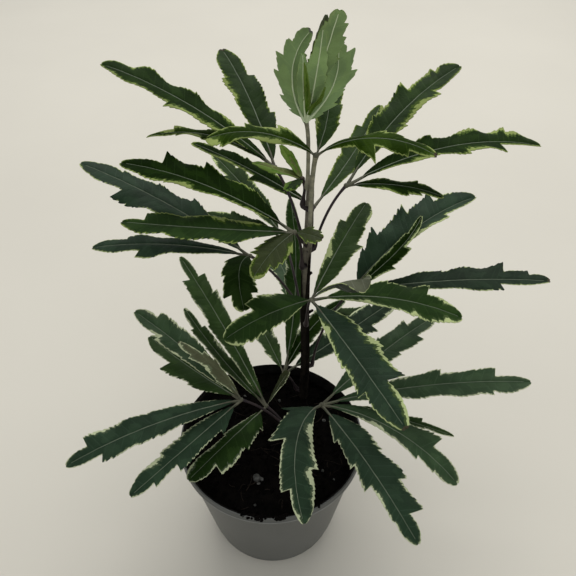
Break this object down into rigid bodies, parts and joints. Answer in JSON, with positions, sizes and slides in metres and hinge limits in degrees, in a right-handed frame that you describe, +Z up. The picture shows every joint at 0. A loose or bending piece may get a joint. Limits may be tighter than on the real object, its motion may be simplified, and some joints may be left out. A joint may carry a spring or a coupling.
{
  "type": "potted false aralia plant",
  "caption": "Young false aralia in a tapered nursery pot: toothed leaflets with cream edges spread like fingers on thin stalks from a woody stem.",
  "frame": {"origin": "centre of the pot's flat underside", "axes": "+Z up, -Y towards the front of the plant, +X to the right as seen from the front"},
  "size_m": [0.2513, 0.2121, 0.3159],
  "materials": {
    "pot_plastic": "satin grey moulded plastic, thin walled",
    "potting_soil": "moist black peat with a few pale grains",
    "stem_bark": "grey brown young bark",
    "leaf_green": "dark green leaf with cream edges and pale ribs",
    "young_leaf_green": "soft pale green young leaf"
  },
  "bodies": {
    "root": {"pot": "pot_plastic", "soil": "potting_soil", "main_stem": "stem_bark", "side_shoot": "stem_bark", "leaf_pot_front": "leaf_green", "leaf_pot_left": "leaf_green", "leaf_low_left": "leaf_green", "leaf_stem_foot": "leaf_green", "leaf_low_back": "leaf_green", "leaf_front": "leaf_green", "leaf_right": "leaf_green", "leaf_left": "leaf_green", "leaf_back": "leaf_green", "leaf_middle_left": "leaf_green", "leaf_upper_left": "leaf_green", "leaf_upper_back": "leaf_green", "leaf_upper_right": "leaf_green", "leaf_top_front": "leaf_green", "leaf_young": "young_leaf_green", "leaf_top": "young_leaf_green"}
  },
  "joints": []
}
